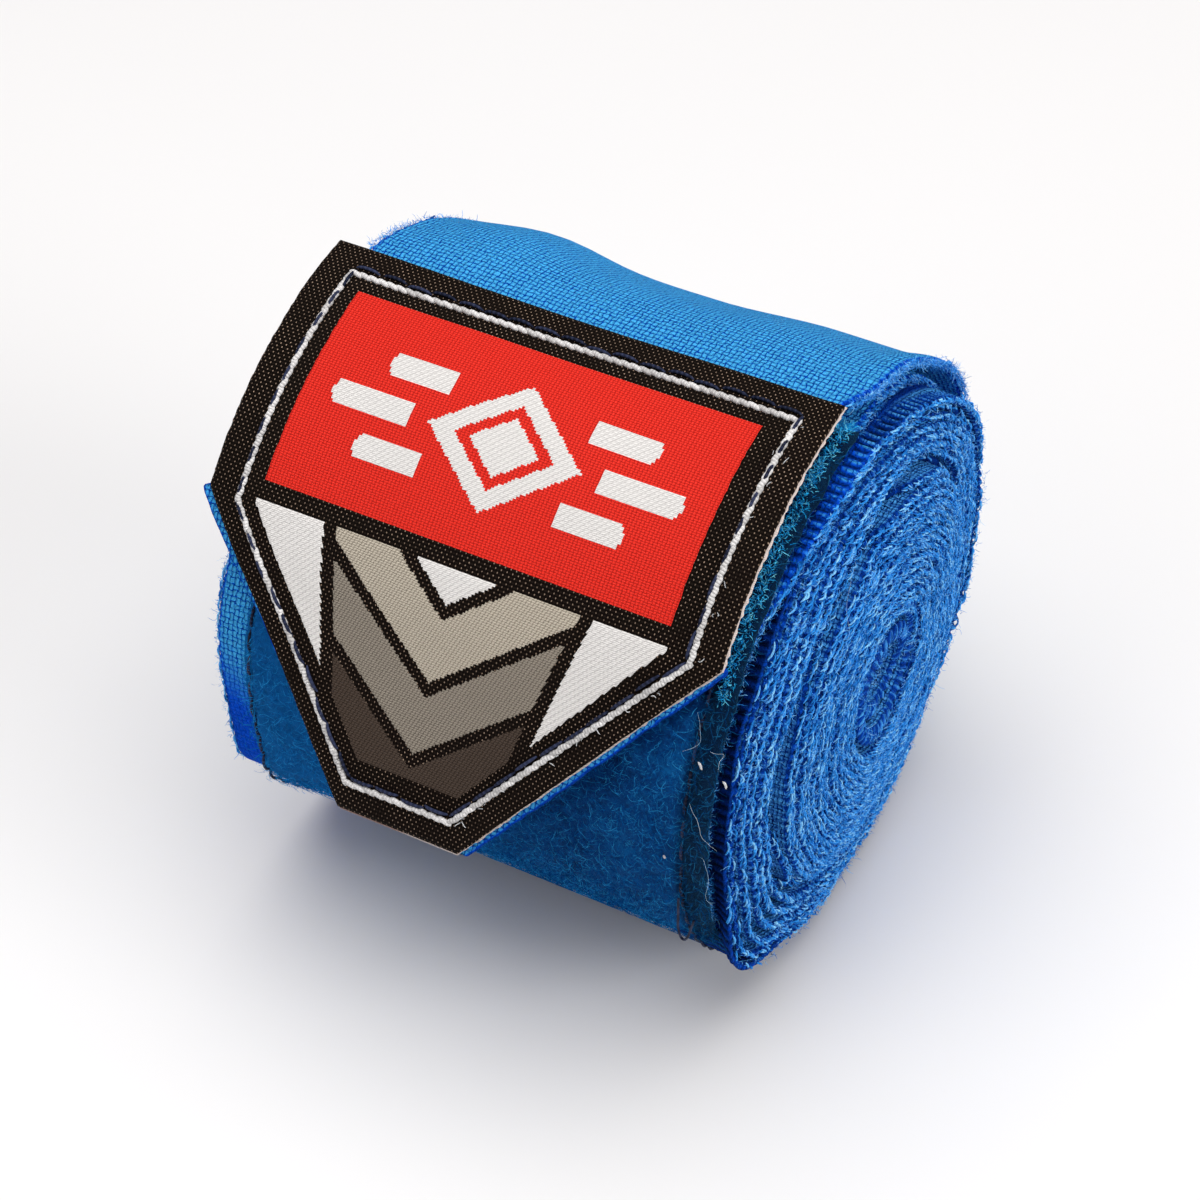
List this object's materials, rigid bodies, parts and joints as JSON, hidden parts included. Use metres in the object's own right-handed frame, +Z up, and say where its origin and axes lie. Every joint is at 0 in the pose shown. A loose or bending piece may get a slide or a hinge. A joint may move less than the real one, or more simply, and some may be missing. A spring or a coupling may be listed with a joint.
{
  "type": "hand wrap",
  "caption": "Elastic hand wrap rolled up for storage, closed by a hook tab with a shield-shaped woven label over a sewn loop panel, thumb loop rolled into the core.",
  "frame": {"origin": "centre of the bounding box on the surface that the roll rests on", "axes": "+X along the roll's axis, -Y towards the label, +Z up"},
  "size_m": [0.055, 0.0656, 0.0596],
  "materials": {
    "band_fabric": "woven cotton with elastic, matt blue",
    "loop_tape": "narrow woven tape, matt blue",
    "loop_pile": "brushed loop pile, cyan blue",
    "hook_tape": "moulded nylon hooks on woven tape, blue",
    "label_backing": "white woven backing with heat-cut edges",
    "woven_label": "satin damask weave, black with red, white and grey fields",
    "sewing_thread": "polyester thread, navy"
  },
  "bodies": {
    "roll": {"wrap_band_outer": "band_fabric", "wrap_band_coil": "band_fabric", "thumb_loop": "loop_tape", "thumb_loop_stitching": "sewing_thread", "loop_panel": "loop_pile", "loop_panel_stitching_left": "sewing_thread", "loop_panel_stitching_right": "sewing_thread", "loop_panel_stitching_top": "sewing_thread", "loop_panel_stitching_bottom": "sewing_thread"},
    "tail_1": {"tail_band_1": "band_fabric"},
    "tail_2": {"tail_band_2": "band_fabric"},
    "tail_3": {"tail_band_3": "band_fabric"},
    "tab_upper": {"tab_band_upper": "band_fabric", "hook_panel_upper": "hook_tape", "label_backing_upper": "label_backing", "label_upper": "woven_label", "label_stitching_upper": "sewing_thread"},
    "tab_lower": {"tab_band_lower": "band_fabric", "hook_panel_lower": "hook_tape", "label_backing_lower": "label_backing", "label_lower": "woven_label", "label_stitching_lower": "sewing_thread"}
  },
  "joints": [
    {"name": "tail_bend_1", "type": "hinge", "parent": "roll", "child": "tail_1", "pos_m": [0, 0.02894, 0.04231], "axis": [-1, 0, 0], "range_deg": [0, 25]},
    {"name": "tail_bend_2", "type": "hinge", "parent": "tail_1", "child": "tail_2", "pos_m": [0, 0.02305, 0.0495], "axis": [-1, 0, 0], "range_deg": [0, 25]},
    {"name": "tail_bend_3", "type": "hinge", "parent": "tail_2", "child": "tail_3", "pos_m": [0, 0.01559, 0.05496], "axis": [-1, 0, 0], "range_deg": [0, 25]},
    {"name": "tab_peel", "type": "hinge", "parent": "tail_3", "child": "tab_upper", "pos_m": [0, 0.007, 0.0585], "axis": [-1, 0, 0], "range_deg": [0, 25]},
    {"name": "tip_lift", "type": "hinge", "parent": "tab_upper", "child": "tab_lower", "pos_m": [0, -0.01574, 0.05304], "axis": [-1, 0, 0], "range_deg": [0, 35]}
  ],
  "couplings": [
    {"joint": "tail_bend_1", "follows": "tab_peel", "ratio": 1},
    {"joint": "tail_bend_2", "follows": "tab_peel", "ratio": 1},
    {"joint": "tail_bend_3", "follows": "tab_peel", "ratio": 1}
  ]
}
